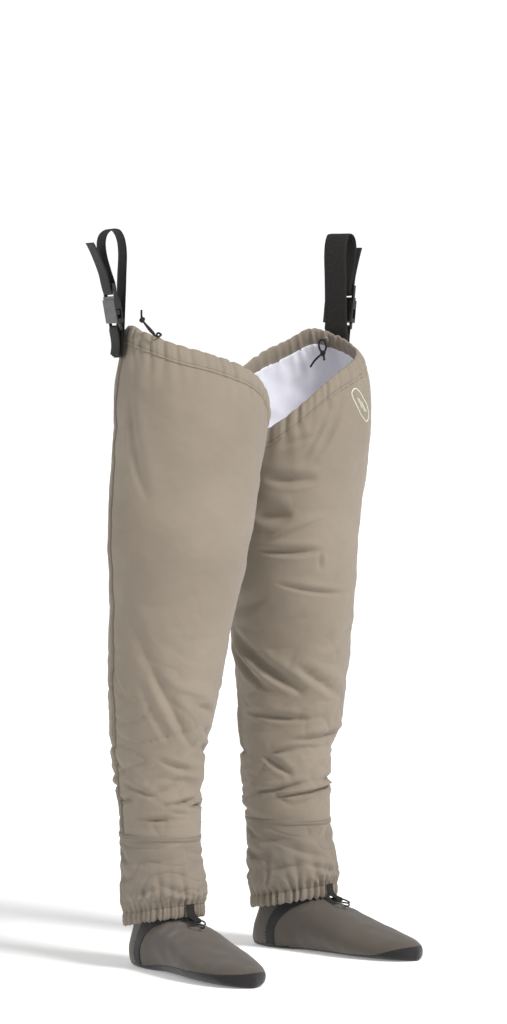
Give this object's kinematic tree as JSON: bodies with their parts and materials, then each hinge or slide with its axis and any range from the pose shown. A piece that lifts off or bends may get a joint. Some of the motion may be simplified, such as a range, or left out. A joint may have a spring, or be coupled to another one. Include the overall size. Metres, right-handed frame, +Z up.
{
  "type": "pair of stocking-foot hip waders",
  "caption": "Pair of hip waders: tapered cloth legs on soft stocking feet, gathered gravel guards, slanting corded top hems, and belt straps that close with side-release buckles.",
  "frame": {"origin": "on the floor under the middle of the pair", "axes": "+Z up, toes towards -Y, the wearer's left leg towards +X"},
  "size_m": [0.534, 0.3252, 1.0769],
  "materials": {
    "shell_cloth": "matt taupe coated cloth, fine plain weave, soft creases",
    "guard_cloth": "matt taupe cloth, gathered at its elastic hem",
    "lining_cloth": "smooth white inner coating",
    "neoprene": "grey-brown neoprene faced with fine knit",
    "black_neoprene": "black neoprene and black seam tape",
    "webbing": "black ribbed nylon webbing",
    "elastic": "black woven elastic",
    "black_plastic": "black moulded acetal, light sheen",
    "cord": "black braided elastic cord",
    "black_wire": "black coated steel wire",
    "eyelet_metal": "plain plated eyelet",
    "label_cloth": "plain woven label with a stitched border"
  },
  "bodies": {
    "left_wader": {"left_leg_shell": "shell_cloth", "left_leg_lining": "lining_cloth", "left_top_hem": "shell_cloth", "left_hem_eyelet": "eyelet_metal", "left_hem_cord": "cord", "left_cord_end": "cord", "left_side_seam": "shell_cloth", "left_ankle_tape": "black_neoprene", "left_gravel_guard": "guard_cloth", "left_guard_cuff": "guard_cloth", "left_guard_elastic": "elastic", "left_calf_binding": "guard_cloth", "left_sock_sole": "black_neoprene", "left_sock_vamp": "neoprene", "left_sock_heel": "neoprene", "left_sock_seam_tape": "black_neoprene", "left_sock_heel_tape": "black_neoprene", "left_hook_tab": "webbing", "left_belt_strap_inner": "webbing", "left_buckle_tab": "webbing", "left_buckle_socket": "black_plastic", "left_thigh_label": "label_cloth"},
    "left_plug": {"left_belt_strap_outer": "webbing", "left_buckle_plug": "black_plastic"},
    "left_front_prong": {"left_buckle_prong_front": "black_plastic"},
    "left_rear_prong": {"left_buckle_prong_rear": "black_plastic"},
    "left_hook": {"left_lace_hook": "black_wire"},
    "right_wader": {"right_leg_shell": "shell_cloth", "right_leg_lining": "lining_cloth", "right_top_hem": "shell_cloth", "right_hem_eyelet": "eyelet_metal", "right_hem_cord": "cord", "right_cord_end": "cord", "right_side_seam": "shell_cloth", "right_ankle_tape": "black_neoprene", "right_gravel_guard": "guard_cloth", "right_guard_cuff": "guard_cloth", "right_guard_elastic": "elastic", "right_calf_binding": "guard_cloth", "right_sock_sole": "black_neoprene", "right_sock_vamp": "neoprene", "right_sock_heel": "neoprene", "right_sock_seam_tape": "black_neoprene", "right_sock_heel_tape": "black_neoprene", "right_hook_tab": "webbing", "right_belt_strap_inner": "webbing", "right_buckle_tab": "webbing", "right_buckle_socket": "black_plastic"},
    "right_plug": {"right_belt_strap_outer": "webbing", "right_buckle_plug": "black_plastic"},
    "right_front_prong": {"right_buckle_prong_front": "black_plastic"},
    "right_rear_prong": {"right_buckle_prong_rear": "black_plastic"},
    "right_hook": {"right_lace_hook": "black_wire"}
  },
  "joints": [
    {"name": "pair_apart", "type": "slide", "parent": "right_wader", "child": "left_wader", "axis": [1, 0, 0], "range_m": [0, 0.4]},
    {"name": "left_buckle_release", "type": "slide", "parent": "left_wader", "child": "left_plug", "axis": [0.171, 0.0301, 0.9848], "range_m": [0, 0.03]},
    {"name": "left_front_prong_squeeze", "type": "hinge", "parent": "left_plug", "child": "left_front_prong", "pos_m": [0.23402, 0.03546, 0.97294], "axis": [0.9698, 0.171, -0.1736], "range_deg": [0, 5], "stiffness_Nm_per_rad": 0.02},
    {"name": "left_rear_prong_squeeze", "type": "hinge", "parent": "left_plug", "child": "left_rear_prong", "pos_m": [0.22724, 0.07387, 0.97294], "axis": [0.9698, 0.171, -0.1736], "range_deg": [-5, 0], "stiffness_Nm_per_rad": 0.02},
    {"name": "left_hook_swing", "type": "hinge", "parent": "left_wader", "child": "left_hook", "pos_m": [0.14337, -0.01545, 0.0784], "axis": [0.9994, 0.0349, 0], "range_deg": [-75, 0]},
    {"name": "right_buckle_release", "type": "slide", "parent": "right_wader", "child": "right_plug", "axis": [-0.1533, 0.0815, 0.9848], "range_m": [0, 0.03]},
    {"name": "right_front_prong_squeeze", "type": "hinge", "parent": "right_plug", "child": "right_front_prong", "pos_m": [-0.23765, 0.08365, 0.96795], "axis": [0.8695, -0.4623, 0.1737], "range_deg": [0, 5], "stiffness_Nm_per_rad": 0.02},
    {"name": "right_rear_prong_squeeze", "type": "hinge", "parent": "right_plug", "child": "right_rear_prong", "pos_m": [-0.21934, 0.11808, 0.96795], "axis": [0.8695, -0.4623, 0.1737], "range_deg": [-5, 0], "stiffness_Nm_per_rad": 0.02},
    {"name": "right_hook_swing", "type": "hinge", "parent": "right_wader", "child": "right_hook", "pos_m": [-0.1722, -0.0126, 0.0784], "axis": [0.9659, -0.2588, 0], "range_deg": [-75, 0]}
  ],
  "couplings": [
    {"joint": "left_rear_prong_squeeze", "follows": "left_front_prong_squeeze", "ratio": -1},
    {"joint": "right_rear_prong_squeeze", "follows": "right_front_prong_squeeze", "ratio": -1}
  ]
}
